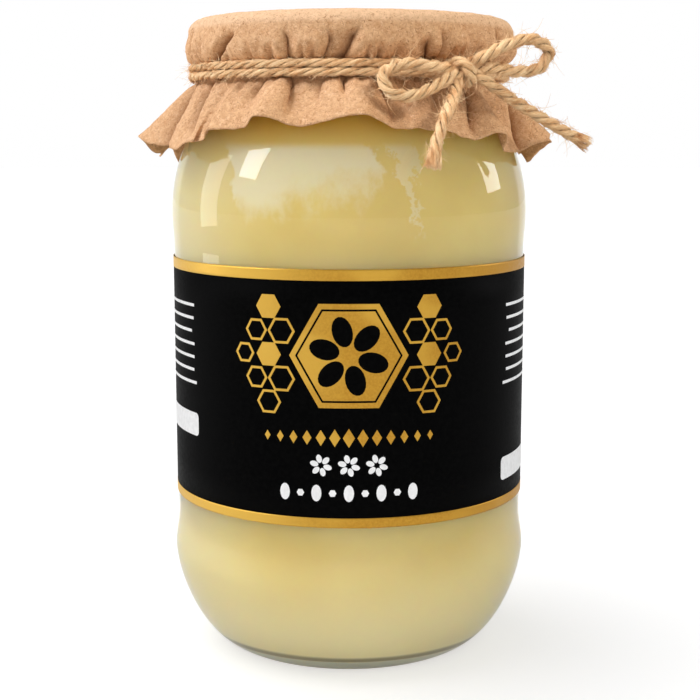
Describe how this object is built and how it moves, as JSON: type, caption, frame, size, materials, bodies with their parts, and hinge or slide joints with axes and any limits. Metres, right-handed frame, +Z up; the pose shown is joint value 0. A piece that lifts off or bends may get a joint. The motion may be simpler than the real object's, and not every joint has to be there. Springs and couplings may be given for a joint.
{
  "type": "honey jar",
  "caption": "Glass jar of pale creamed honey with a dark wrap label, its mouth covered with gathered kraft paper that is tied with jute twine in a bow.",
  "frame": {"origin": "middle of the jar's foot, on the surface it stands on", "axes": "+Z up the jar's axis, -Y towards the label's front, +X to the right of the front view, where the bow's longer tail points"},
  "size_m": [0.1223, 0.1155, 0.175],
  "materials": {
    "glass": "clear, smooth container glass",
    "honey": "pale creamed honey, faintly translucent",
    "label": "satin black print with gold bands",
    "kraft_paper": "soft brown kraft paper with fibres, creased",
    "jute": "three-ply jute twine, hairy"
  },
  "bodies": {
    "root": {"jar": "glass", "honey": "honey", "label": "label", "paper_cover": "kraft_paper", "twine": "jute"}
  },
  "joints": []
}
